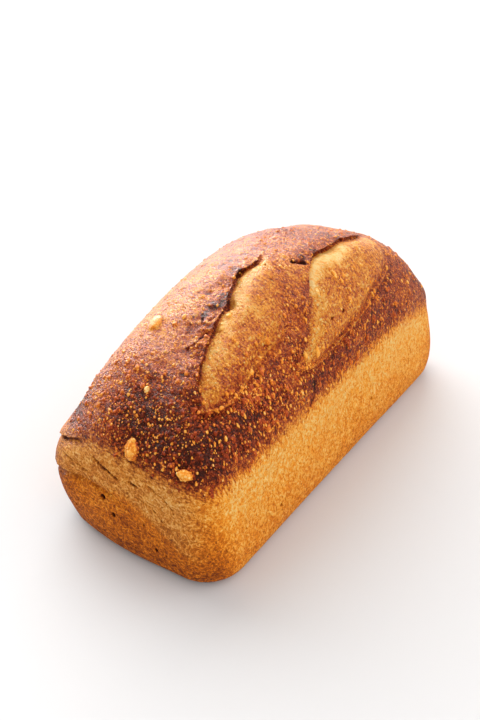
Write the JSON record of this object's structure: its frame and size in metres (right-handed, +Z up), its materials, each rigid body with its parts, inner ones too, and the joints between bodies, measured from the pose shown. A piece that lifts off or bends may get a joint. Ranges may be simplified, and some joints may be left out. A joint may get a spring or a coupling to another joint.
{
  "type": "whole tin-baked rustic bread loaf with two slashes",
  "caption": "Whole uncut rustic bread loaf, baked in a tin: straight walls, tall domed dark crust, two long slashes with raised ears.",
  "frame": {"origin": "the middle of the loaf's box, on the plane of its flat base", "axes": "+Z up, Y along the loaf with the folded end at -Y, X across it with the slashed side at +X"},
  "size_m": [0.1156, 0.2354, 0.126],
  "materials": {
    "crust": "dark reddish brown baked dome, golden walls, paler slashes, low sheen"
  },
  "bodies": {
    "root": {"loaf": "crust"}
  },
  "joints": []
}
